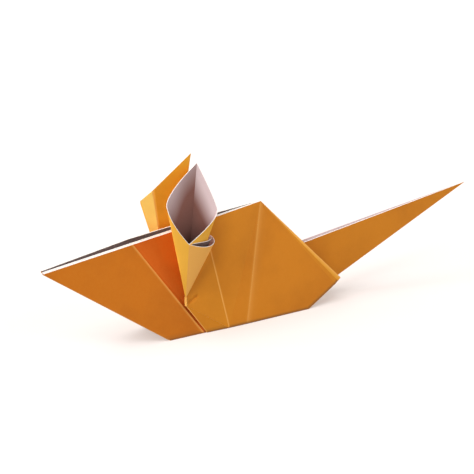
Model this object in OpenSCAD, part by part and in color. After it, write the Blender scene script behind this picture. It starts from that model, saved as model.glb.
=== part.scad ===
// Origami mouse: one square of paper, folded into a tent with a spine, two ears and a tail.
// Lengths are in millimetres and angles in degrees.
// Fold lines are laid out in the flat of one side wall: s runs back along the spine from the
// nose, h runs up from the spine and n stands out of the wall. The side is -1 near, 1 far.

/* [Sheet] */
// Thickness of one layer of paper as it lies in the folds
paper_t = 0.3; // [0.2:0.05:0.5]
// Width of bare paper left along the spine at the nose
bare_w = 0.9; // [0.4:0.1:2]

/* [Body] */
// Length of the spine from the nose to the rump
spine_l = 66; // [50:1:90]
// Lean of each side wall from upright
wall_lean = 12; // [8:0.5:18]
// Angle between the spine and the belly fold
belly_angle = 8.3; // [4:0.1:12]
// Distance along the chin fold from the nose to the belly fold
chin_l = 41; // [34:0.5:46]
// Angle of the rump fold below the spine
rump_angle = 55; // [48:1:62]
// How far the pleat edge behind the chin stands proud of the wall
pleat_lift = 0.4; // [0:0.1:1.5]
// How far the ear pulls the wall in at its foot
foot_in = 1.1; // [0.5:0.1:2]
// How far the far flap's edge springs out at the top of its first crease
far_spring = 2.2; // [0.5:0.1:3]
// How far the two hip creases stand proud of the wall
hip_lift = 0.5; // [0:0.1:1.5]

/* [Ears] */
// Distance along the spine from the nose to the foot of the ear
ear_s = 36; // [33:0.5:40]
// Depth of the foot of the ear below the spine
ear_foot_d = 21.4; // [18:0.2:24]
// How far the ear tip lies behind its foot
ear_tip_back = 11.4; // [6:0.1:14]
// Height of the ear tip above the spine
ear_tip_h = 16.1; // [10:0.1:22]
// How far the ear tip stands out of the wall
ear_tip_out = 4.2; // [3:0.1:8]
// How far the front bend of the ear lies before its foot
ear_front_s = 2.1; // [0:0.1:4]
// Height of the front bend above the spine
ear_front_h = 7.3; // [4:0.1:10]
// How far the front bend stands out of the wall
ear_front_out = 8.6; // [6:0.2:10]
// How far the rear bend of the ear lies behind its foot
ear_rear_s = 13.2; // [11:0.2:17]
// Height of the rear bend above the spine
ear_rear_h = 2.7; // [0:0.1:5]
// How far the rear bend stands out of the wall
ear_rear_out = 6; // [3:0.2:8]
// How far the point of the ear mouth lies behind the foot
mouth_s = 1.8; // [0.5:0.1:3]
// Depth of the point of the ear mouth below the spine
mouth_d = 3.7; // [2:0.1:6]
// How far the point of the ear mouth stands out of the wall
mouth_out = 7.8; // [6:0.2:10]
// Width of the ear's side pocket along its lip
lip_w = 9.9; // [8:0.1:11]
// How far the lip of the side pocket dips below the point of the mouth
lip_drop = 2.9; // [1.5:0.1:4]

/* [Far ear] */
// How far the far ear's tip lies behind its foot
far_tip_back = 10.5; // [6:0.1:14]
// Height of the far ear's tip above the spine
far_tip_h = 19; // [12:0.1:24]
// How far the fold in the far ear's brow lies before its foot
far_brow_s = 1.1; // [0:0.1:3]
// Height of the fold in the far ear's brow above the spine
far_brow_h = 10.3; // [8:0.1:13]
// How far the fold in the far ear's brow stands out of the wall
far_brow_out = 5.5; // [4:0.1:7]
// How far the far ear's front corner lies before its foot
far_front_s = 3.6; // [1:0.1:5]
// Height of the far ear's front corner above the spine
far_front_h = 6.8; // [4:0.1:10]
// How far the far ear's front corner stands out of the wall
far_front_out = 8; // [6:0.1:10]
// How far the far ear's rear bend lies behind its foot
far_rear_s = 9.5; // [7:0.1:14]
// Height of the far ear's rear bend above the spine
far_rear_h = 1.8; // [0:0.1:5]
// How far the far ear's rear bend stands out of the wall
far_rear_out = 7; // [4:0.1:9]

/* [Tail] */
// Drop of the tail's spine below the line of the body's spine
tail_drop = 16.4; // [13:0.2:18]
// Distance from the nose to the tail tip, measured along the spine
tail_tip_s = 145; // [120:1:165]
// Angle of the tail's point, seen from the side
tail_angle = 14.6; // [11:0.2:18]
// Half of the tail's width at its root
tail_half_w = 1.8; // [1:0.1:3]
// Distance along the spine from the nose to the hidden end of the tail's spine
tail_root_s = 75; // [72:0.5:79]

/* [Hidden] */

// The chin and the tail folds meet at the hip point under the belly.
fan_step = 22.5;
chin_angle = 2 * fan_step;
// Layers are pressed together, so each is laid a little less than its thickness out.
lap_share = 0.9;
lap = paper_t * lap_share;
// Share of a panel's thickness by which the feet are pressed flat
foot_share = 0.5;
// Points to each half of a bend of an ear's rim, and facets round a folded edge
rim_n = 6;
edge_fn = 8;
// How far the rim runs straight up and down at its bends, as shares of the way to its ends
bend_up_share = 0.32;
bend_down_share = 0.38;
// Places along the lip of the ear's side pocket, as shares of its width, depth and stand-off
lip_back_shares = [0, 0.36, 0.69, 0.92, 1, 0.98];
lip_drop_shares = [0, 0.62, 1, 0.92, 0.62, 0.2];
lip_out_shares = [1, 0.84, 0.64, 0.42, 0.26, 0.14];
// Share of the far flap's spring that is left at the ear
ear_spring_share = 0.5;

paper_colour = [0.86, 0.5, 0.13];

// Rise of the spine that brings the belly fold level
spine_rise = atan(tan(belly_angle) * cos(wall_lean));

// Fold lines in the flat of the wall
function along(angle) = [cos(angle), sin(angle)];
function meet(p, u, q, v) = p + u * cross(q - p, v) / cross(u, v);
function flip_over(p, q, u) = 2 * (q + u * ((p - q) * u)) - p;
nose = [0, 0];
rump = [spine_l, 0];
hip = spine_l * along(-chin_angle);
tail_fold_dir = along(fan_step);
belly_dir = along(-belly_angle);
belly_front = chin_l * along(-chin_angle);
belly_rear = meet(belly_front, belly_dir, hip, tail_fold_dir);
rump_corner = meet(rump, along(-rump_angle), hip, tail_fold_dir);
tucked_hip = flip_over(hip, belly_front, belly_dir);
function fan_dir(steps) = along(180 - chin_angle - steps * fan_step);
function fan_top(steps) = meet(hip, fan_dir(steps), [0, -bare_w], rump - [0, -bare_w]);
function fan_foot(steps) = meet(hip, fan_dir(steps), belly_front, belly_dir);
flap_nose = meet(nose, along(-chin_angle), [0, -bare_w], rump - [0, -bare_w]);
ear_foot = [ear_s, -ear_foot_d];
// The flap's raw edge at a distance along the spine
function flap_edge(s) = [s, -bare_w * (1 - s / spine_l)];

// Place in the part's frame of a point given along, above and out of a side wall
ground = -belly_front[1] * cos(wall_lean) * cos(spine_rise) - belly_front[0] * sin(spine_rise);
foot_press = paper_t * foot_share * sin(wall_lean);
centre_x = tail_tip_s * cos(spine_rise) / 2 + tail_drop * sin(spine_rise) / 2;
function risen(s, y, up) = [
    s * cos(spine_rise) - up * sin(spine_rise) - centre_x,
    y,
    s * sin(spine_rise) + up * cos(spine_rise) + ground - foot_press
];
function on_wall(p, n, side) = risen(
    p[0],
    side * (n * cos(wall_lean) - p[1] * sin(wall_lean)),
    p[1] * cos(wall_lean) + n * sin(wall_lean)
);
function mix(a, b, k) = a + (b - a) * k;

// A flat panel of one layer of paper about its corners, with the rounded edge of a fold
module panel(corners) {
    hull()
        for (p = corners) translate(p) sphere(d = paper_t, $fn = edge_fn);
}

// A panel on a side wall, whose corners are [place, stand-off] pairs
module wall_panel(corners, side) {
    panel([for (c = corners) on_wall(c[0], c[1], side)]);
}

// One side wall: the inner layer, the flaps folded up over it and the hip tucked inside
module side_wall(side) {
    chin_crease = fan_foot(1);
    ear_crease = fan_foot(2);
    hip_crease = fan_foot(3);
    far = side > 0;
    ear_top = flap_edge(ear_s);
    crease_n = far ? far_spring : lap;
    ear_n = far ? far_spring * ear_spring_share : lap;
    pleat_n = 2 * lap + pleat_lift;
    hip_n = lap + hip_lift;
    crease_ridge = [fan_top(1)[0], 0];
    around = [chin_crease, crease_ridge, rump, rump_corner, belly_rear, chin_crease];
    wall_panel([[nose, 0], [crease_ridge, 0], [chin_crease, 0], [belly_front, 0]], side);
    for (i = [0:len(around) - 2])
        wall_panel([[ear_foot, -foot_in - lap], [around[i], 0], [around[i + 1], 0]], side);
    wall_panel([[belly_front, -lap], [belly_rear, -lap], [tucked_hip, -lap]], side);
    wall_panel([[flap_nose, lap], [fan_top(1), crease_n], [chin_crease, lap]], side);
    wall_panel([[flap_nose, lap], [chin_crease, lap], [belly_front, lap]], side);
    wall_panel([[fan_top(1), crease_n], [ear_top, ear_n], [ear_foot, -foot_in]], side);
    wall_panel([[fan_top(1), crease_n], [ear_foot, -foot_in], [chin_crease, lap]], side);
    wall_panel([[ear_foot, pleat_n], [ear_crease, hip_n], [chin_crease, 2 * lap]], side);
    wall_panel([[ear_foot, pleat_n], [fan_top(2), hip_n], [ear_crease, hip_n]], side);
    wall_panel([[fan_top(2), hip_n], [rump, lap], [ear_crease, hip_n]], side);
    wall_panel([[rump, lap], [hip_crease, hip_n], [ear_crease, hip_n]], side);
    wall_panel([[rump, lap], [belly_rear, lap], [hip_crease, hip_n]], side);
    wall_panel([[rump, lap], [rump_corner, lap], [belly_rear, lap]], side);
}

// One half of a bend of the ear's rim: a curve from an end to the bend
function rim_half(end, bend, pull) = [
    for (i = [0:rim_n - 1])
        let (k = i / rim_n) mix(mix(end, pull, k), mix(pull, bend, k), k)
];
function rim_pull(end, bend, share) = [
    bend[0],
    mix(bend[1], end[1], share),
    mix(bend[2], end[2], share)
];
function reverse(list) = [for (i = [len(list) - 1:-1:0]) list[i]];

// The ear's rim, once round: tip, brow, front bend, point of the mouth, rear bend
function ear_rim(tip, brow, front, mouth, rear) = concat(
    brow,
    [front],
    reverse(rim_half(mouth, front, rim_pull(mouth, front, bend_down_share))),
    [for (i = [1:rim_n - 1]) rim_half(mouth, rear, rim_pull(mouth, rear, bend_down_share))[i]],
    [rear],
    reverse(rim_half(tip, rear, rim_pull(tip, rear, bend_up_share)))
);

// A paper cone from its foot to the points along its edge
module cone(foot, edge) {
    for (i = [0:len(edge) - 2]) panel([foot, edge[i], edge[i + 1]]);
}

// One ear: an open cone with a small side pocket behind the point of its mouth
module ear(side) {
    far = side > 0;
    mouth = [ear_s + mouth_s, -mouth_d, mouth_out];
    tip = far
        ? [ear_s + far_tip_back, far_tip_h, ear_tip_out]
        : [ear_s + ear_tip_back, ear_tip_h, ear_tip_out];
    front = far
        ? [ear_s - far_front_s, far_front_h, far_front_out]
        : [ear_s - ear_front_s, ear_front_h, ear_front_out];
    rear = far
        ? [ear_s + far_rear_s, far_rear_h, far_rear_out]
        : [ear_s + ear_rear_s, ear_rear_h, ear_rear_out];
    brow = far
        ? [tip, [ear_s - far_brow_s, far_brow_h, far_brow_out]]
        : rim_half(tip, front, rim_pull(tip, front, bend_up_share));
    rim = ear_rim(tip, brow, front, mouth, rear);
    lip = [
        for (i = [0:len(lip_back_shares) - 1])
            mouth + [
                lip_w * lip_back_shares[i],
                -lip_drop * lip_drop_shares[i],
                mouth_out * (lip_out_shares[i] - 1)
            ]
    ];
    for (edge = [rim, lip])
        cone(on_wall(ear_foot, 0, side), [for (p = edge) on_wall([p[0], p[1]], p[2], side)]);
}

// The tail: its spine, its two sides and the folds that carry it inside the rump
module tail() {
    tip = risen(tail_tip_s, 0, -tail_drop);
    root_top = risen(tail_root_s, 0, -tail_drop);
    root_d = (tail_tip_s - tail_root_s) * tan(tail_angle);
    for (side = [-1, 1]) {
        root_low = risen(tail_root_s, side * tail_half_w, -tail_drop - root_d);
        panel([tip, root_top, root_low]);
        panel([on_wall(rump, 0, side), on_wall(rump_corner, 0, side), root_top]);
        panel([on_wall(rump_corner, 0, side), root_low, root_top]);
    }
}

module folded_sheet() {
    reach = 2 * tail_tip_s;
    color(paper_colour)
        intersection() {
            union() {
                for (side = [-1, 1]) {
                    side_wall(side);
                    ear(side);
                }
                tail();
            }
            translate([-reach / 2, -reach / 2, 0]) cube(reach);
        }
}

folded_sheet();
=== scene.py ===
"""Origami mouse: one square of paper, orange on one side and white on the other, folded.

The folds repeat the part's own values in millimetres. They are laid out in the flat of one side
wall: s runs back along the spine from the nose, h runs up from the spine and n stands out of the
wall. A side is -1 for the near wall and 1 for the far one. The mesh itself is in metres.
"""

from math import atan, cos, exp, pi, radians, sin, tan

import bpy
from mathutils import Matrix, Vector


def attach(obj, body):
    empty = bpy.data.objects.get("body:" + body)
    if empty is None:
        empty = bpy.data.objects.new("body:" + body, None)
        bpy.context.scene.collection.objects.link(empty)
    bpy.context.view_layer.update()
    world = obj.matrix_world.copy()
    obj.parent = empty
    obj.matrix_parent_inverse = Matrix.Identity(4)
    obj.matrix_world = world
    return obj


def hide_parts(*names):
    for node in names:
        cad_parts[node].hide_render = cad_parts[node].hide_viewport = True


MM = 0.001
NEAR, FAR = -1, 1
# Corners of a face that are closer than this, in metres, are one corner
NO_GAP = 1e-7

# Sheet: thickness, thickness on the ears, step from layer to layer, bare strip along the spine
PAPER_T = 0.22
EAR_T = 0.16
LAP = 0.27
BARE_W = 0.9

# Body
SPINE_L = 66.0
WALL_LEAN = radians(12)
BELLY_ANGLE = 8.3
CHIN_L = 41.0
RUMP_ANGLE = 55.0
FAN_STEP = 22.5
# How far the pleat, the rear creases and the layers under the ear's foot stand out
PLEAT_N = 1.1
HIP_N = 0.77
FOOT_N = -0.3
# How far the pleat's edge lies behind the first crease, along the belly
PLEAT_BACK = 0.9
# How far the folds sink where the mouse stands on them
FOOT_PRESS = 0.031
# From the rump's corner to where its lower edge bulges
RUMP_BULGE_BY = (-2.2, -1.35)
MIDDLE_BULGE = 0.15

# Raw edges of the flaps along the spine: the corners and how far they stand out
NOSE_TOP = {NEAR: Vector((0.0, -0.4)), FAR: Vector((0.1, 0.4))}
CREASE_TOP = {NEAR: Vector((25.3, -0.38)), FAR: Vector((25.4, 0.1))}
CREASE_N = {NEAR: LAP, FAR: 2.2}
NEAR_EAR_TOP_S = 39.0
FAR_EAR_TOP = Vector((43.0, 0.5))
FAR_EAR_TOP_N = 0.9
FAR_REAR_TOP_H = 0.55

# Ears
EAR_FOOT = Vector((36.0, -21.4))
# Top of the pleat's edge, and the point above it where the cones are pinched together
EAR_POINT = Vector((35.5, -21.05))
PINCH = Vector((35.8, -18.85))
PINCH_N = 1.5
PINCH_W = 0.75
# Places along the pinched strip, from its top to its foot
PINCH_AT = (-0.15, 0.2, 0.6, 1.0)
# Corner of the wall that is hidden behind the ear
UNDER_EAR = Vector((38.5, -10.0))
# Dent in the near wall behind the ear's point: its ends, depth and half width
DENT = ((36.6, -20.6), (39.3, -19.7))
DENT_D = 0.6
DENT_W = 0.42
# Corners of the ears' rims, from the foot: back, up and out
EAR_TIP = {NEAR: (11.35, 16.06, 4.2), FAR: (10.5, 19.0, 4.2)}
EAR_FRONT = {NEAR: (-2.1, 7.3, 8.6), FAR: (-3.6, 6.8, 8.0)}
EAR_REAR = {NEAR: (13.2, 2.74, 6.0), FAR: (9.5, 1.8, 7.0)}
EAR_MOUTH = (1.8, -3.7, 7.8)
FAR_BROW = (-1.1, 10.3, 5.5)
# How far the rim's bends are pulled to the tip and to the mouth
TIP_PULL = 0.32
MOUTH_PULL = 0.38
# Lip of the side pocket and edge of the layer inside it, from the foot: back, up and out
LIP = (
    EAR_MOUTH,
    (4.4, -5.1, 7.3),
    (7.2, -6.15, 6.5),
    (9.7, -6.35, 5.3),
    (11.1, -5.85, 4.0),
    (11.6, -5.1, 2.6),
    (11.6, -4.5, 1.2),
)
LINER = (
    (2.2, -3.75, 7.6),
    (5.15, -4.3, 6.9),
    (8.0, -4.8, 6.0),
    (9.65, -4.85, 5.0),
    (10.7, -4.5, 3.8),
)
# Steps along each run of the rim, and a first short one that keeps a fold sharp
EAR_RIM_N = 14
BEND_FIRST = 0.12
FOLD_FIRST = 0.15
LIP_N = 5

# Tail
TAIL_DROP = 16.4
TAIL_TIP_S = 145.0
TAIL_ROOT_S = 75.0
TAIL_ANGLE = radians(14.6)
TAIL_HALF_W = 1.8
TAIL_BARE_W = 0.75
TAIL_TIP_LIFT = 0.4

# Mesh: rows of a facet and of a cone, and the first rows, which lie closer to a facet's edge
FACET_ROWS = 20
DENT_ROWS = 80
BAND_ROWS = 3
CONE_ROWS = 14
EAR_ROWS = 28
EDGE_ROWS = (0, 0.5, 1.4)
SHARP_ANGLE = radians(20)

# Wear of a crease with its painted highlight, in the first rows beside it, and of the creases and
# folds
SHARP_WEAR_HIGHLIGHT = (1, 0, 0, 0)
SOFT_WEAR_HIGHLIGHT = (1, 0.45, 0.1, 0)
FIRST_WEAR_HIGHLIGHT = 0.7
REAR_WEAR_HIGHLIGHT = 0.5
FOLD_WEAR_HIGHLIGHT = 0.5
# Painted shade, a dark line along the belly and rear folds: share at the fold and width
BELLY_SHADE = 0.9
BELLY_SHADE_W = 0.9

# Painted light and shade on the orange of each fold, from -1, deepest, to 2, palest, and the
# painted shade on the back of the far flap
FRONT_TONE = -0.05
POCKET_TONE = -0.68
PLEAT_TONE = 0.25
MIDDLE_TONE = 0.2
REAR_TONE = 0.15
RUMP_TONE = 0.25
BAND_TONE = 0.6
TAIL_TONE = 0.17
NEAR_EAR_TONE = 1.25
PINCH_TONE = 1.0
LIP_TONE = 0.5
LINER_SHADE = 0.95
FLAP_BACK_SHADE = 0.85
# Painted light on the far ear: above the fold in its brow, below it and the rest
FAR_EAR_TONES = (0.7, 2.0, 1.0)

# Painted shade inside the ears, in brown: at the rim and its growth with depth, where light falls
# in and in shade
LIT_SHADE = (-0.4, 5.0)
DIM_SHADE = (0.45, 3.0)
MOST_SHADE = 0.97
# The front of an ear takes less of that painted shade, fully so this far before the middle of its
# rim
FRONT_SHADE = 0.3
FRONT_RUN = 5.0
# Painted shade, dark, at the bottom of the ears: most, share of the cone where it starts, share
# where it grows
DEEP_DARK = 0.75
DEEP_FROM = 0.78
DEEP_RUN = 0.35
# Painted shade on the back of the pocket's inner layer, darker towards its foot: most, depth,
# curve and what its front adds
LINER_BACK = 0.95
LINER_RUN = 0.53
LINER_CURVE = 1.1
LINER_FRONT = 0.38

# Orange paper from its deepest painted shade to its palest painted light
ORANGES = ((0.69, 0.092, 0.003), (0.56, 0.152, 0.003), (0.95, 0.45, 0.03), (0.95, 0.59, 0.13))
BLOTCH = (0.85, 0.8, 0.7)
BLOTCH_FROM, BLOTCH_TO = 0.42, 0.72
FLECK = (0.95, 0.55, 0.12)
FLECK_MOST = 0.08
# Paler orange where creases are rubbed, which is also a painted highlight
WEAR_HIGHLIGHT_ORANGE = (0.95, 0.49, 0.12)
WEAR_HIGHLIGHT_MOST = 0.75
# Painted shade along the belly and rear folds
BELLY_SHADE_BROWN = (0.2, 0.085, 0.026)
# Bare back of the sheet, and the brown and dark of its painted shade
WHITES = ((0.64, 0.485, 0.48), (0.70, 0.54, 0.535))
SHADE_BROWN = (0.2, 0.07, 0.048)
DEEP_BROWN = (0.08, 0.042, 0.034)
# Raw edge of the sheet
CUT_WHITES = ((0.93, 0.87, 0.80), (0.98, 0.94, 0.90))
# Strength of the bump and of the gloss on each side and on the raw edge
COLOUR_BUMP, COLOUR_GLOSS = 0.25, 0.16
WHITE_BUMP, WHITE_GLOSS = 0.2, 0.25
CUT_BUMP, CUT_GLOSS = 0.3, 0.2
# Grain: scales of the fibre and of the blotches, height of the fibre in metres, roughness
FIBRE_SCALE = 1400
CLOUD_SCALE = 70
FIBRE_H = 0.00004
ROUGHNESS = (0.5, 0.72)

# Floor in metres: half width, front edge, start and radius of the bend up, top of the wall
FLOOR_HALF_W = 2.6
FLOOR_FRONT = -1.6
FLOOR_BEND = 1.2
FLOOR_BEND_R = 0.5
FLOOR_BEND_N = 12
FLOOR_TOP = 2.2
FLOOR_GREYS = ((0.45, 0.45, 0.45), (0.47, 0.47, 0.47))
# White that is seen in the floor besides its light: from, to, least and most, and its tint, a
# painted warm bounce light that shows only where the floor lies in shade
FLOOR_GLOW = (0.1, 0.4, 0.48, 1.0)
FLOOR_TINT = (1, 0.83, 0.74, 1)

# Lamps in metres and watts: place, size and power
KEY = ((-1.3, 0.0, 1.6), 2.6, 98)
FILL = ((1.0, -1.1, 0.8), 1.0, 11)
LAMP_AIM = Vector((-0.01, 0, 0.02))
WORLD_LIGHT = 0.08

# Camera, in the part's frame
CAMERA_AT = (-142.3, -207.8, 102.4)
CAMERA_PITCH = 17.895
CAMERA_YAW = 31.448
CAMERA_LENS = 68.35


def along(angle):
    return Vector((cos(radians(angle)), sin(radians(angle))))


def meet(p, u, q, v):
    return p + u * ((q - p).cross(v) / u.cross(v))


def flip_over(p, q, u):
    return 2 * (q + u * (p - q).dot(u)) - p


RISE = atan(tan(radians(BELLY_ANGLE)) * cos(WALL_LEAN))
NOSE = Vector((0.0, 0.0))
RUMP = Vector((SPINE_L, 0.0))
HIP = SPINE_L * along(-2 * FAN_STEP)
BELLY_DIR = along(-BELLY_ANGLE)
BELLY_FRONT = CHIN_L * along(-2 * FAN_STEP)
BELLY_REAR = meet(BELLY_FRONT, BELLY_DIR, HIP, along(FAN_STEP))
RUMP_CORNER = meet(RUMP, along(-RUMP_ANGLE), HIP, along(FAN_STEP))
RUMP_BULGE = RUMP_CORNER + Vector(RUMP_BULGE_BY)
RUMP_BAND = RUMP_CORNER.lerp(RUMP_BULGE, 0.5)
TUCKED_HIP = flip_over(HIP, BELLY_FRONT, BELLY_DIR)
BARE = Vector((0.0, -BARE_W))
GROUND = -BELLY_FRONT.y * cos(WALL_LEAN) * cos(RISE) - BELLY_FRONT.x * sin(RISE)
CENTRE_X = (TAIL_TIP_S * cos(RISE) + TAIL_DROP * sin(RISE)) / 2


def off_line(p, a, b):
    """Distance of a point from the line between two others."""
    run = b - a
    return (p - a - run * min(max((p - a).dot(run) / run.dot(run), 0.0), 1.0)).length


def fan_dir(steps):
    return along(180 - (2 + steps) * FAN_STEP)


def fan_top(steps):
    return meet(HIP, fan_dir(steps), BARE, RUMP - BARE)


def fan_foot(steps):
    return meet(HIP, fan_dir(steps), BELLY_FRONT, BELLY_DIR)


def flap_edge(s):
    return Vector((s, -BARE_W * (1 - s / SPINE_L)))


def risen(s, y, up):
    """Place in the part's frame, in metres, of a point along, beside and above the spine."""
    x = s * cos(RISE) - up * sin(RISE) - CENTRE_X
    z = s * sin(RISE) + up * cos(RISE) + GROUND - FOOT_PRESS
    return Vector((x, y, max(z, 0.0))) * MM


def on_wall(p, n, side):
    """Place in the part's frame, in metres, of a point p in the flat of a wall, n out of it."""
    y = side * (n * cos(WALL_LEAN) - p[1] * sin(WALL_LEAN))
    return risen(p[0], y, p[1] * cos(WALL_LEAN) + n * sin(WALL_LEAN))


class Paper:
    """Collects the folded sheet as one mesh.

    Each face takes the coloured side, the white side or a cut edge. Each point has how much it is
    rubbed pale, with a painted highlight, its painted light and shade, and a painted shade that is
    a dark line on the coloured side and brown on the white one.
    """

    COLOUR, WHITE, CUT = range(3)

    def __init__(self):
        self.verts, self.worn, self.tone, self.shade = [], [], [], []
        self.faces, self.mats = [], []

    def vert(self, p, worn=0.0, tone=0.0, shade=0.0):
        self.verts.append(Vector((p.x, p.y, max(p.z, 0.0))))
        self.worn.append(worn)
        self.tone.append(tone)
        self.shade.append(shade)
        return len(self.verts) - 1

    def face(self, ids, mat):
        """Adds a face, without the corners that lie on the next one."""
        places = self.verts
        after = ids[1:] + ids[:1]
        apart = [a for a, b in zip(ids, after) if (places[a] - places[b]).length > NO_GAP]
        if len(apart) > 2:
            self.faces.append(tuple(apart))
            self.mats.append(mat)

    def facet(
        self,
        corners,
        out,
        worn=(0, 0, 0),
        soft=False,
        bulge=0.0,
        tone=0.0,
        back=0.0,
        sides=(COLOUR, WHITE),
        rows=FACET_ROWS,
        dent=None,
        dirt=0.0,
    ):
        """A triangle of paper, with painted shade along its edge bc and a dent along a line.

        How much the edges ab, bc and ca are rubbed pale, with a painted highlight, comes in that
        order, and soft spreads it. bulge lifts the middle. The painted light and shade of the
        outer side is given next and back gives that of the inner one; sides are their materials.
        Returns the edges ab, bc and ca, each as a list of [outer, inner] places.
        """
        a, b, c = corners
        normal = (b - a).cross(c - a).normalized()
        if normal.dot(out) < 0:
            normal = -normal
        flip = (b - a).cross(c - a).dot(out) < 0

        wear_highlight_spread = SOFT_WEAR_HIGHLIGHT if soft else SHARP_WEAR_HIGHLIGHT
        depth = (b - a).cross(c - b).length / (c - b).length

        def step(i):
            return EDGE_ROWS[i] if i < len(EDGE_ROWS) else i

        outer, inner, edges = {}, {}, ([], [], [])
        for i in range(rows + 1):
            for j in range(rows + 1 - i):
                k = rows - i - j
                w = Vector((step(i), step(j), step(k)))
                w /= w.x + w.y + w.z
                # The product of the three shares is 1/27 in the middle.
                p = a * w.x + b * w.y + c * w.z + normal * (bulge * MM * 27 * w.x * w.y * w.z)
                if dent:
                    d = off_line(p, *dent) / (DENT_W * MM)
                    p -= normal * (DENT_D * MM * exp(-d * d))
                fold = max(share * wear_highlight_spread[min(m, 3)] for share, m in zip(worn, (k, i, j)))
                top, low = p + normal * (PAPER_T * MM / 2), p - normal * (PAPER_T * MM / 2)
                # Painted shade, fading over a set width from the edge bc.
                shade = dirt * max(1 - w.x * depth / (BELLY_SHADE_W * MM), 0.0)
                outer[i, j] = self.vert(top, fold, tone, shade)
                inner[i, j] = self.vert(low, fold, back)
                for edge, on_it in zip(edges, (k == 0, i == 0, j == 0)):
                    if on_it:
                        edge.append([top, low])
        for layer, mat, turn in ((outer, sides[0], flip), (inner, sides[1], not flip)):
            for i in range(rows):
                for j in range(rows - i):
                    cell = [layer[i, j], layer[i + 1, j], layer[i, j + 1]]
                    self.face(cell[::-1] if turn else cell, mat)
                    if i + j < rows - 1:
                        cell = [layer[i + 1, j], layer[i + 1, j + 1], layer[i, j + 1]]
                        self.face(cell[::-1] if turn else cell, mat)
        return edges[0][::-1], edges[1][::-1], edges[2]

    def roll(self, tops, lows, away, mat, worn=0.0, tone=0.0, shade=0.0, steps=4):
        """A half-round edge from one line of points to another, bulging to the given direction."""
        rings = []
        for i, (top, low) in enumerate(zip(tops, lows)):
            run = (tops[min(i + 1, len(tops) - 1)] - tops[max(i - 1, 0)]).normalized()
            across = (top - low) / 2
            push = away - run * away.dot(run)
            push -= across * (push.dot(across) / max(across.length_squared, 1e-18))
            push = push.normalized() * across.length
            mid = (top + low) / 2
            ring = []
            for m in range(steps + 1):
                turn = pi * m / steps
                at = mid + across * cos(turn) + push * sin(turn)
                ring.append(self.vert(at, worn, tone, shade))
            rings.append(ring)
        flip = None
        for one, two in zip(rings, rings[1:]):
            for m in range(steps):
                quad = [one[m], two[m], two[m + 1], one[m + 1]]
                if flip is None:
                    p = [self.verts[q] for q in quad]
                    out = tops[0] - lows[0] + away * 1e-6
                    flip = (p[1] - p[0]).cross(p[3] - p[0]).dot(out) < 0
                self.face(quad[::-1] if flip else quad, mat)

    def bridge(self, one, two, worn):
        """Closes the outside of a crease between two facets."""
        a = [self.vert(e[0], worn) for e in one]
        b = [self.vert(e[0], worn) for e in two]
        for i in range(len(a) - 1):
            self.face([a[i], a[i + 1], b[i + 1], b[i]], self.COLOUR)

    def fold(self, edge, under, away, **kw):
        """A folded edge round the layers between an outer edge and the one that lies under it."""
        a, b = under[0][1], under[-1][1]
        run = (b - a).normalized()
        tops = [e[0] for e in edge]
        lows = [a + run * min(max((p - a).dot(run), 0), (b - a).length) for p in tops]
        self.roll(tops, lows, away, self.COLOUR, worn=FOLD_WEAR_HIGHLIGHT, **kw)

    def cut(self, edge, away, mat=CUT, **kw):
        """The edge of one layer."""
        self.roll([e[0] for e in edge], [e[1] for e in edge], away, mat, **kw)

    def cone(
        self,
        foot,
        rim,
        axis,
        creases=(),
        tones=(0.0,),
        rows=CONE_ROWS,
        closed=True,
        sides=(COLOUR, WHITE),
        lit=None,
    ):
        """A cone of paper from its foot to its rim, coloured outside and white inside.

        lit counts the columns of an ear that take the deeper painted shade inside, before those
        that take the lighter painted shade where light falls in.
        """
        n = len(rim)
        grid = []
        for i, p in enumerate(rim):
            if closed:
                before, after = rim[(i - 1) % n], rim[(i + 1) % n]
            else:
                before, after = rim[max(i - 1, 0)], rim[min(i + 1, n - 1)]
            normal = (after - before).cross(p - foot).normalized()
            if normal.dot(p - axis) < 0:
                normal = -normal
            ahead = min(max((axis.x - p.x) / (FRONT_RUN * MM), 0.0), 1.0)
            column = []
            for k in range(rows + 1):
                share = k / rows
                q = foot + (p - foot) * share
                thick = normal * (EAR_T * MM / 2)
                fold = 1.0 if i in creases else 0.0
                tone = tones[i % len(tones)]
                # Painted shade inside the ears: brown that grows with depth below the rim, more on
                # the columns in shade, and dark near the foot.
                if lit:
                    at_rim, growth = LIT_SHADE if i >= lit else DIM_SHADE
                    if i < lit:
                        at_rim -= FRONT_SHADE * ahead
                    shade = min(max(at_rim + growth * (1 - share), 0.0), MOST_SHADE)
                    back = DEEP_DARK * min(max((DEEP_FROM - share) / DEEP_RUN, 0.0), 1.0)
                else:
                    shade = 0.0
                    # Painted shade on the pocket's inner layer, darker towards its foot.
                    back = LINER_BACK * min((1 - share) / LINER_RUN, 1) ** LINER_CURVE
                    back = min(back + LINER_FRONT * ahead, 1.0)
                outer = self.vert(q + thick, fold, tone)
                column.append((outer, self.vert(q - thick, 0.0, back, shade)))
            grid.append(column)
        for left, right in zip(grid, grid[1:] + (grid[:1] if closed else [])):
            for k in range(rows):
                for side, mat in enumerate(sides):
                    quad = [left[k][side], right[k][side], right[k + 1][side], left[k + 1][side]]
                    p = [self.verts[q] for q in quad]
                    facing = (p[2] - p[0]).cross(p[3] - p[1])
                    middle = (p[0] + p[2]) / 2
                    outward = facing.dot(middle - (foot + (axis - foot) * ((k + 0.5) / rows))) > 0
                    self.face(quad if outward == (side == 0) else quad[::-1], mat)
        tops = [self.verts[c[-1][0]] for c in grid]
        lows = [self.verts[c[-1][1]] for c in grid]
        if closed:
            tops.append(tops[0])
            lows.append(lows[0])
        self.roll(tops, lows, (axis - foot).normalized(), self.CUT)

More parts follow.
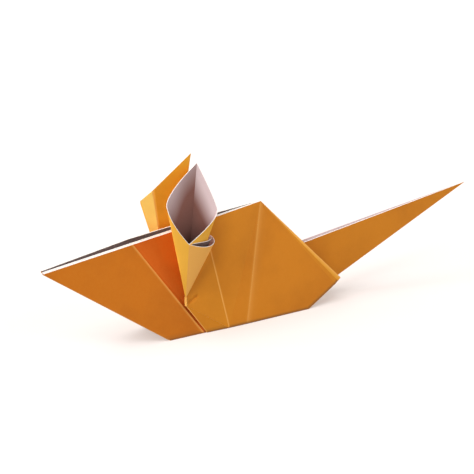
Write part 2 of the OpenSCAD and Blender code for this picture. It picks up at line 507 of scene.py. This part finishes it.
    def build(self, name, materials):
        mesh = bpy.data.meshes.new(name)
        mesh.from_pydata([tuple(v) for v in self.verts], [], self.faces)
        for attribute, values in (
            ("worn", self.worn),
            ("tone", self.tone),
            ("shade", self.shade),
        ):
            mesh.attributes.new(attribute, "FLOAT", "POINT").data.foreach_set("value", values)
        for m in materials:
            mesh.materials.append(m)
        mesh.polygons.foreach_set("material_index", self.mats)
        mesh.polygons.foreach_set("use_smooth", [True] * len(mesh.polygons))
        mesh.set_sharp_from_angle(angle=SHARP_ANGLE)
        obj = bpy.data.objects.new(name, mesh)
        bpy.context.collection.objects.link(obj)
        return obj


def out_of_wall(side):
    return Vector((0, side * cos(WALL_LEAN), sin(WALL_LEAN)))


def wall_facet(paper, corners, side, **kw):
    """A facet whose corners are (place, stand-off) pairs on a wall."""
    return paper.facet([on_wall(p, n, side) for p, n in corners], out_of_wall(side), **kw)


def side_wall(paper, side):
    """The inner layer, the flaps folded up over it and the hip tucked inside.

    Returns the top of the inner layer and the edge of the flap at the rump.
    """
    pleat, two, three = fan_foot(1), fan_foot(2), fan_foot(3)
    one = pleat - BELLY_DIR * PLEAT_BACK
    up = Vector((0, 0, 1))
    inner = (Paper.WHITE, Paper.COLOUR)
    band = (Paper.CUT, Paper.COLOUR)

    # The far flap's edge springs away from the spine at its first crease.
    nose_top, crease_top, crease_n = NOSE_TOP[side], CREASE_TOP[side], CREASE_N[side]
    ear_top, ear_n = flap_edge(NEAR_EAR_TOP_S), LAP
    rear_top = fan_top(2)
    back = 0.0
    if side == FAR:
        ear_top, ear_n = FAR_EAR_TOP, FAR_EAR_TOP_N
        rear_top = Vector((rear_top.x, FAR_REAR_TOP_H))
        # The back of the far flap takes dark painted shade.
        back = FLAP_BACK_SHADE

    # The ear pulls the layers under its foot in.
    ridge = Vector((crease_top.x, 0))
    round_it = [one, ridge, RUMP, RUMP_CORNER, BELLY_REAR, one]
    base = [
        wall_facet(paper, [(one, 0), (NOSE, 0), (ridge, 0)], side, sides=band),
        wall_facet(paper, [(one, 0), (BELLY_FRONT, 0), (NOSE, 0)], side, sides=inner),
    ] + [
        wall_facet(
            paper,
            [(EAR_FOOT, FOOT_N - LAP), (p, 0), (q, 0)],
            side,
            sides=band if q == RUMP else (Paper.COLOUR, Paper.COLOUR),
        )
        for p, q in zip(round_it, round_it[1:])
    ]
    tuck = wall_facet(
        paper,
        [(BELLY_FRONT, -LAP), (BELLY_REAR, -LAP), (TUCKED_HIP, -LAP)],
        side,
        sides=inner,
    )

    # Each fold of the wall takes its painted light and shade, darkest in the pocket under the ear;
    # the far flap's back takes painted shade.
    front = [
        wall_facet(
            paper,
            [(nose_top, LAP), (crease_top, crease_n), (one, LAP)],
            side,
            worn=(0, FIRST_WEAR_HIGHLIGHT, 0),
            tone=FRONT_TONE,
            back=back,
        ),
        wall_facet(
            paper,
            [(nose_top, LAP), (one, LAP), (BELLY_FRONT, LAP)],
            side,
            tone=FRONT_TONE,
            dirt=BELLY_SHADE,
        ),
    ]
    pocket = [
        wall_facet(
            paper,
            [(crease_top, crease_n), (ear_top, ear_n), (EAR_FOOT, FOOT_N)],
            side,
            tone=POCKET_TONE,
            back=back,
        ),
        wall_facet(
            paper,
            [(crease_top, crease_n), (EAR_FOOT, FOOT_N), (one, LAP)],
            side,
            worn=(0, 0, FIRST_WEAR_HIGHLIGHT),
            tone=POCKET_TONE,
            back=back,
        ),
        wall_facet(
            paper,
            [(EAR_FOOT, FOOT_N), (pleat, LAP), (one, LAP)],
            side,
            tone=POCKET_TONE,
            dirt=BELLY_SHADE,
        ),
    ]
    rear = [
        wall_facet(
            paper,
            [(EAR_POINT, PLEAT_N), (two, HIP_N), (pleat, 2 * LAP)],
            side,
            worn=(0, 0, 1),
            tone=PLEAT_TONE,
            dirt=BELLY_SHADE,
        ),
        wall_facet(
            paper,
            [(EAR_POINT, PLEAT_N), (rear_top, HIP_N), (two, HIP_N)],
            side,
            worn=(0, 1, 0),
            tone=PLEAT_TONE,
            back=back,
            rows=DENT_ROWS if side == NEAR else FACET_ROWS,
            dent=[on_wall(p, HIP_N, side) for p in DENT] if side == NEAR else None,
        ),
        wall_facet(
            paper,
            [(rear_top, HIP_N), (RUMP, LAP), (two, HIP_N)],
            side,
            worn=(0, 0, 1),
            bulge=MIDDLE_BULGE,
            tone=MIDDLE_TONE,
            back=back,
        ),
        wall_facet(
            paper,
            [(RUMP, LAP), (three, HIP_N), (two, HIP_N)],
            side,
            worn=(REAR_WEAR_HIGHLIGHT, 0, 0),
            soft=True,
            tone=REAR_TONE,
            dirt=BELLY_SHADE,
        ),
        wall_facet(
            paper,
            [(RUMP, LAP), (BELLY_REAR, LAP), (three, HIP_N)],
            side,
            worn=(0, 0, REAR_WEAR_HIGHLIGHT),
            soft=True,
            tone=REAR_TONE,
            dirt=BELLY_SHADE,
        ),
        wall_facet(
            paper,
            [(RUMP, LAP), (RUMP_BULGE, LAP), (BELLY_REAR, LAP)],
            side,
            tone=REAR_TONE,
            dirt=BELLY_SHADE,
        ),
        wall_facet(
            paper,
            [(RUMP, LAP), (RUMP_CORNER, LAP), (RUMP_BAND, LAP)],
            side,
            worn=(1, 0, 0),
            soft=True,
            tone=BAND_TONE,
            rows=BAND_ROWS,
        ),
        wall_facet(
            paper,
            [(RUMP, LAP), (RUMP_BAND, LAP), (RUMP_BULGE, LAP)],
            side,
            tone=RUMP_TONE,
            dirt=BELLY_SHADE,
        ),
    ]
    under_ear = wall_facet(
        paper,
        [(EAR_POINT, PLEAT_N), (UNDER_EAR, PLEAT_N), (rear_top, HIP_N)],
        side,
        tone=PLEAT_TONE,
        back=back,
    )

    paper.bridge(front[0][1], pocket[1][2][::-1], FIRST_WEAR_HIGHLIGHT)
    # Cut edges along the spine
    for edge in (front[0][0], pocket[0][0], rear[2][0]):
        paper.cut(edge, up)
    # The pleat's folded edge, rubbed pale and with a painted highlight, and the edge under the ear
    paper.cut(rear[0][2], Vector((-1, 0, 0)), Paper.COLOUR, worn=1.0)
    for edge in under_ear[:2]:
        paper.cut(edge, Vector((-1, 0, 0.3)), Paper.COLOUR)
    # Chin, belly, rear and rump folds, each round the layers that it holds
    level = on_wall(NOSE, 0, side)
    chin_away = on_wall((-1, -1), 0, side) - level
    rear_away = on_wall((1, -2), 0, side) - level
    belly = front[1][1], pocket[2][1], rear[0][1], rear[3][1], rear[4][1]
    paper.fold(front[1][2], base[1][1], chin_away)
    for facet in rear[5:]:
        paper.fold(facet[1], base[5][1], rear_away)
    # The belly folds take a dark line of painted shade.
    for edge in belly:
        paper.fold(edge, tuck[0], Vector((0, 0, -1)), shade=BELLY_SHADE)
    paper.cut(tuck[2], Vector((-1, 0, 1)))
    paper.cut(tuck[1], Vector((1, 0, 1)))
    return [e[0] for e in base[0][1] + base[3][1]], rear[6][0]


def rim_half(end, bend, share):
    """Points along half of a bend of the ear's rim, from its end to the bend."""
    pull = Vector((bend.x, bend.y + (end.y - bend.y) * share, bend.z + (end.z - bend.z) * share))
    steps = [i / EAR_RIM_N for i in (0, BEND_FIRST, *range(1, EAR_RIM_N))]
    return [end.lerp(pull, k).lerp(pull.lerp(bend, k), k) for k in steps]


def straight(start, end):
    """Points along a straight run of the ear's rim, closer beside the fold at its start."""
    return [start.lerp(end, k / EAR_RIM_N) for k in (0, FOLD_FIRST, *range(1, EAR_RIM_N))]


def smooth_line(values, count):
    """A line of values drawn through by a smooth curve, with count steps between each two."""
    last = len(values) - 1
    out = []
    for i in range(last):
        p0, p1 = values[max(i - 1, 0)], values[i]
        p2, p3 = values[i + 1], values[min(i + 2, last)]
        for m in range(count):
            t = m / count
            out.append(
                p1
                + (p2 - p0) * (t / 2)
                + (2 * p0 - 5 * p1 + 4 * p2 - p3) * (t * t / 2)
                + (3 * p1 - p0 - 3 * p2 + p3) * (t**3 / 2)
            )
    out.append(values[last])
    return out


def ear(paper, side):
    """An open cone with a small side pocket behind the point of its mouth."""
    at = Vector((EAR_FOOT.x, 0, 0))
    tip, front, rear, mouth = (
        at + Vector(p) for p in (EAR_TIP[side], EAR_FRONT[side], EAR_REAR[side], EAR_MOUTH)
    )
    # The outside of each ear takes painted light: golden, and palest on the far ear below the fold
    # in its brow.
    if side == NEAR:
        brow = rim_half(tip, front, TIP_PULL)
        creases = [0]
        tones = [NEAR_EAR_TONE]
    else:
        bend = at + Vector(FAR_BROW)
        above, below = straight(tip, bend), straight(bend, front)
        brow = above + below
        creases = [0, len(above)]
        runs = len(above), len(below), 4 * EAR_RIM_N
        tones = [tone for tone, run in zip(FAR_EAR_TONES, runs) for _ in range(run)]

    chin = rim_half(mouth, front, MOUTH_PULL)[::-1]
    back = rim_half(mouth, rear, MOUTH_PULL)[1:] + [rear] + rim_half(tip, rear, TIP_PULL)[:0:-1]
    creases.append(len(brow) + len(chin))
    rim = [on_wall((p.x, p.y), p.z, side) for p in brow + [front] + chin + back]
    foot = on_wall(PINCH, PINCH_N, side)
    low = on_wall(EAR_POINT, PLEAT_N, side)
    half = Vector((PINCH_W * MM / 2, 0, 0))
    strip = [foot.lerp(low, k) for k in PINCH_AT]
    # The pinched strip is rubbed pale and takes a painted highlight and pale painted light.
    paper.roll(
        [p - half for p in strip],
        [p + half for p in strip],
        out_of_wall(side),
        Paper.COLOUR,
        worn=1.0,
        tone=PINCH_TONE,
    )
    middle = sum(rim, Vector()) / len(rim)
    lit = len(brow) + 1 + len(chin)
    paper.cone(foot, rim, middle, creases=creases, tones=tones, rows=EAR_ROWS, lit=lit)

    lines = (smooth_line([at + Vector(q) for q in line], LIP_N) for line in (LIP, LINER))
    lip, liner = ([on_wall((p.x, p.y), p.z, side) for p in line] for line in lines)
    inside = mouth.lerp(rear, 0.5)
    inside = on_wall((inside.x, inside.y), inside.z, side)
    # The lip takes a pale painted sheen outside and painted shade inside.
    paper.cone(
        foot,
        lip,
        inside,
        creases=range(len(lip)),
        tones=[LIP_TONE],
        closed=False,
        lit=len(lip),
    )
    # The white face of the pocket's inner layer takes dark painted shade.
    paper.cone(
        foot,
        liner,
        inside,
        tones=[LINER_SHADE],
        closed=False,
        sides=(Paper.WHITE, Paper.COLOUR),
    )


def tail(paper, rump_edges):
    """The tail's spine, its two sides and the folds that carry it inside the rump."""
    tip = risen(TAIL_TIP_S, 0, -TAIL_DROP)
    root_top = risen(TAIL_ROOT_S, 0, -TAIL_DROP)
    root_d = (TAIL_TIP_S - TAIL_ROOT_S) * tan(TAIL_ANGLE)
    inner = (Paper.WHITE, Paper.COLOUR)
    ridges = []
    for side in (NEAR, FAR):
        out = Vector((0, side, 0))
        root_low = risen(TAIL_ROOT_S, side * TAIL_HALF_W, -TAIL_DROP - root_d)
        base = paper.facet([tip, root_top, root_low], out, sides=inner)
        ridges.append([e[0] for e in base[0]])
        lift = out * (LAP * MM)
        bare = (root_low - root_top).normalized() * (TAIL_BARE_W * MM)
        flap = paper.facet(
            [tip + lift * TAIL_TIP_LIFT, root_top + bare + lift, root_low + lift],
            out,
            tone=TAIL_TONE,
        )
        paper.cut(flap[0], Vector((0, 0, 1)))
        paper.fold(flap[2], base[2], Vector((0.2, 0, -1)))
        rump = on_wall(RUMP, 0, side)
        corner = on_wall(RUMP_CORNER, 0, side)
        turned_in = Vector((1, 0, 0))
        inside = paper.facet([rump, corner, root_top], turned_in)
        paper.facet([corner, root_low, root_top], turned_in)
        paper.fold(rump_edges[side], inside[0], Vector((1, 0, -0.4)))
    paper.roll(ridges[0], ridges[1], Vector((0, 0, 1)), Paper.WHITE)


def new_material(name):
    material = bpy.data.materials.new(name)
    material.use_nodes = True
    tree = material.node_tree
    return material, tree, tree.nodes["Principled BSDF"]


def paper_grain(tree, shader, bump):
    """Fine fibre in the paper: bump and a little change of roughness.

    Returns the fibre and a cloud of larger blotches.
    """
    nodes, links = tree.nodes, tree.links
    where = nodes.new("ShaderNodeTexCoord")
    fibre = nodes.new("ShaderNodeTexNoise")
    fibre.inputs["Scale"].default_value = FIBRE_SCALE
    fibre.inputs["Detail"].default_value = 4
    fibre.inputs["Roughness"].default_value = 0.6
    links.new(where.outputs["Object"], fibre.inputs["Vector"])
    raised = nodes.new("ShaderNodeBump")
    raised.inputs["Strength"].default_value = bump
    raised.inputs["Distance"].default_value = FIBRE_H
    links.new(fibre.outputs["Fac"], raised.inputs["Height"])
    links.new(raised.outputs["Normal"], shader.inputs["Normal"])
    links.new(scaled(tree, fibre.outputs["Fac"], *ROUGHNESS), shader.inputs["Roughness"])
    cloud = nodes.new("ShaderNodeTexNoise")
    cloud.inputs["Scale"].default_value = CLOUD_SCALE
    cloud.inputs["Detail"].default_value = 5
    links.new(where.outputs["Object"], cloud.inputs["Vector"])
    return fibre.outputs["Fac"], cloud.outputs["Fac"]


def mix_colour(tree, factor, a, b, blend="MIX"):
    """A colour between two, each a colour or a socket."""
    mix = tree.nodes.new("ShaderNodeMix")
    mix.data_type = "RGBA"
    mix.blend_type = blend
    tree.links.new(factor, mix.inputs["Factor"])
    for name, value in (("A", a), ("B", b)):
        socket = next(i for i in mix.inputs if i.name == name and i.type == "RGBA")
        if isinstance(value, bpy.types.NodeSocket):
            tree.links.new(value, socket)
        else:
            socket.default_value = (*value, 1)
    return next(o for o in mix.outputs if o.type == "RGBA")


def attribute(tree, name):
    node = tree.nodes.new("ShaderNodeAttribute")
    node.attribute_name = name
    return node.outputs["Fac"]


def scaled(tree, value, low, high, start=0.0, end=1.0):
    """A value that runs from low to high while the given one runs from start to end."""
    node = tree.nodes.new("ShaderNodeMapRange")
    node.inputs["From Min"].default_value = start
    node.inputs["From Max"].default_value = end
    node.inputs["To Min"].default_value = low
    node.inputs["To Max"].default_value = high
    tree.links.new(value, node.inputs["Value"])
    return node.outputs["Result"]


def seen_rays(tree):
    """1 for the rays that show the background: the camera's own and those of gloss and glass."""
    path = tree.nodes.new("ShaderNodeLightPath")
    seen = path.outputs["Is Camera Ray"]
    for name in ("Is Glossy Ray", "Is Transmission Ray"):
        either = tree.nodes.new("ShaderNodeMath")
        either.operation = "MAXIMUM"
        tree.links.new(seen, either.inputs[0])
        tree.links.new(path.outputs[name], either.inputs[1])
        seen = either.outputs["Value"]
    return seen


def coloured_side():
    """Orange paper with painted light and shade: deep on the walls, golden on the ears, paler
    where a fold has cracked it and a painted highlight lies, and a dark line of painted shade
    along the belly.
    """
    material, tree, shader = new_material("orange_paper")
    fibre, cloud = paper_grain(tree, shader, COLOUR_BUMP)
    ramp = tree.nodes.new("ShaderNodeValToRGB")
    for stop, colour in zip((0.0, 1 / 3, 2 / 3, 1.0), ORANGES):
        at = ramp.color_ramp.elements
        element = at.new(stop) if 0 < stop < 1 else at[0 if stop == 0 else len(at) - 1]
        element.color = (*colour, 1)
    # Painted light and shade: each fold sits on the ramp, deep where shaded and pale where lit.
    tone = scaled(tree, attribute(tree, "tone"), 0.0, 1.0, -1, 2)
    tree.links.new(tone, ramp.inputs["Fac"])
    blotch = scaled(tree, cloud, 0.0, 1.0, BLOTCH_FROM, BLOTCH_TO)
    hue = mix_colour(tree, blotch, ramp.outputs["Color"], BLOTCH, "MULTIPLY")
    hue = mix_colour(tree, scaled(tree, fibre, 0.0, FLECK_MOST), hue, FLECK)
    # Creases rubbed pale, which is also a painted highlight.
    hue = mix_colour(tree, scaled(tree, attribute(tree, "worn"), 0.0, WEAR_HIGHLIGHT_MOST), hue, WEAR_HIGHLIGHT_ORANGE)
    # Painted shade: a dark line along the belly and rear folds.
    hue = mix_colour(tree, attribute(tree, "shade"), hue, BELLY_SHADE_BROWN)
    tree.links.new(hue, shader.inputs["Base Color"])
    shader.inputs["Specular IOR Level"].default_value = COLOUR_GLOSS
    return material


def white_side():
    """The bare back of the sheet, faintly pink, with painted shade, brown to dark, in the depth of
    the ears, on the pocket's inner layer and on the back of the far flap.
    """
    material, tree, shader = new_material("white_paper")
    _, cloud = paper_grain(tree, shader, WHITE_BUMP)
    hue = mix_colour(tree, cloud, *WHITES)
    # Painted shade: brown inside the ears, and dark in their depth, on the pocket's inner layer
    # and on the far flap's back.
    hue = mix_colour(tree, attribute(tree, "shade"), hue, SHADE_BROWN)
    hue = mix_colour(tree, attribute(tree, "tone"), hue, DEEP_BROWN)
    tree.links.new(hue, shader.inputs["Base Color"])
    shader.inputs["Specular IOR Level"].default_value = WHITE_GLOSS
    return material


def cut_edge():
    """The raw edge of the sheet, where the white core shows."""
    material, tree, shader = new_material("cut_paper")
    fibre, _ = paper_grain(tree, shader, CUT_BUMP)
    hue = mix_colour(tree, fibre, *CUT_WHITES)
    tree.links.new(hue, shader.inputs["Base Color"])
    shader.inputs["Specular IOR Level"].default_value = CUT_GLOSS
    return material


def folded_sheet():
    paper = Paper()
    ridges, rump_edges = [], {}
    for side in (NEAR, FAR):
        ridge, rump_edges[side] = side_wall(paper, side)
        ridges.append(ridge)
        ear(paper, side)
    paper.roll(ridges[0], ridges[1], Vector((0, 0, 1)), Paper.CUT)
    tail(paper, rump_edges)
    return paper.build("folded_paper", [coloured_side(), white_side(), cut_edge()])


def backdrop():
    """A white floor that runs up into a wall behind."""
    profile = [(FLOOR_FRONT, 0.0)]
    for i in range(FLOOR_BEND_N + 1):
        turn = pi / 2 * i / FLOOR_BEND_N
        profile.append((FLOOR_BEND + FLOOR_BEND_R * sin(turn), FLOOR_BEND_R * (1 - cos(turn))))
    profile.append((FLOOR_BEND + FLOOR_BEND_R, FLOOR_TOP))
    verts = [(x, y, z) for y, z in profile for x in (-FLOOR_HALF_W, FLOOR_HALF_W)]
    faces = [(2 * i, 2 * i + 1, 2 * i + 3, 2 * i + 2) for i in range(len(profile) - 1)]
    mesh = bpy.data.meshes.new("floor")
    mesh.from_pydata(verts, [], faces)
    mesh.polygons.foreach_set("use_smooth", [True] * len(mesh.polygons))
    floor = bpy.data.objects.new("floor", mesh)
    bpy.context.collection.objects.link(floor)
    material, tree, shader = new_material("floor_white")
    nodes, links = tree.nodes, tree.links
    cloud = nodes.new("ShaderNodeTexNoise")
    cloud.inputs["Scale"].default_value = 3
    hue = mix_colour(tree, cloud.outputs["Fac"], *FLOOR_GREYS)
    links.new(hue, shader.inputs["Base Color"])
    shader.inputs["Roughness"].default_value = 0.9
    shader.inputs["Specular IOR Level"].default_value = 0.0
    where = nodes.new("ShaderNodeTexCoord")
    away = nodes.new("ShaderNodeVectorMath")
    away.operation = "LENGTH"
    links.new(where.outputs["Object"], away.inputs[0])
    start, end, least, most = FLOOR_GLOW
    glow = scaled(tree, away.outputs["Value"], least, most, start, end)
    white = nodes.new("ShaderNodeMath")
    white.operation = "MULTIPLY"
    links.new(glow, white.inputs[0])
    links.new(seen_rays(tree), white.inputs[1])
    links.new(white.outputs["Value"], shader.inputs["Emission Strength"])
    # The tint is painted warm bounce light, seen only where the floor lies in shade.
    shader.inputs["Emission Color"].default_value = FLOOR_TINT
    mesh.materials.append(material)


def lamp(name, at, size, power):
    light = bpy.data.lights.new(name, "AREA")
    light.size = size
    light.energy = power
    obj = bpy.data.objects.new(name, light)
    obj.location = at
    obj.rotation_euler = (LAMP_AIM - Vector(at)).to_track_quat("-Z", "Y").to_euler()
    bpy.context.collection.objects.link(obj)


def lights():
    lamp("key", *KEY)
    lamp("fill", *FILL)
    world = bpy.data.worlds.new("studio")
    world.use_nodes = True
    tree = world.node_tree
    sky = tree.nodes["Background"]
    sky.inputs["Color"].default_value = (1, 1, 1, 1)
    tree.links.new(scaled(tree, seen_rays(tree), WORLD_LIGHT, 1.0), sky.inputs["Strength"])
    bpy.context.scene.world = world


def camera():
    data = bpy.data.cameras.new("camera")
    data.sensor_width = 36
    data.lens = CAMERA_LENS
    data.clip_start = 0.01
    obj = bpy.data.objects.new("camera", data)
    obj.location = Vector(CAMERA_AT) * MM
    obj.rotation_euler = (radians(90 - CAMERA_PITCH), 0, radians(-CAMERA_YAW))
    bpy.context.collection.objects.link(obj)
    bpy.context.scene.camera = obj


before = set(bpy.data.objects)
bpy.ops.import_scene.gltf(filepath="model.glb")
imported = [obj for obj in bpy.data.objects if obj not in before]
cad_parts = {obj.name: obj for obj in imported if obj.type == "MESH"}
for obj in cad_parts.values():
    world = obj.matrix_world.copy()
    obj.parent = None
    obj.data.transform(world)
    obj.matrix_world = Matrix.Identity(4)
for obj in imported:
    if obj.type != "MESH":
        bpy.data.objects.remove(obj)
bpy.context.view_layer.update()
bpy.context.scene.view_settings.view_transform = "Standard"

sheet = folded_sheet()
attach(sheet, "root")
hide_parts("folded_sheet")

backdrop()
lights()
camera()
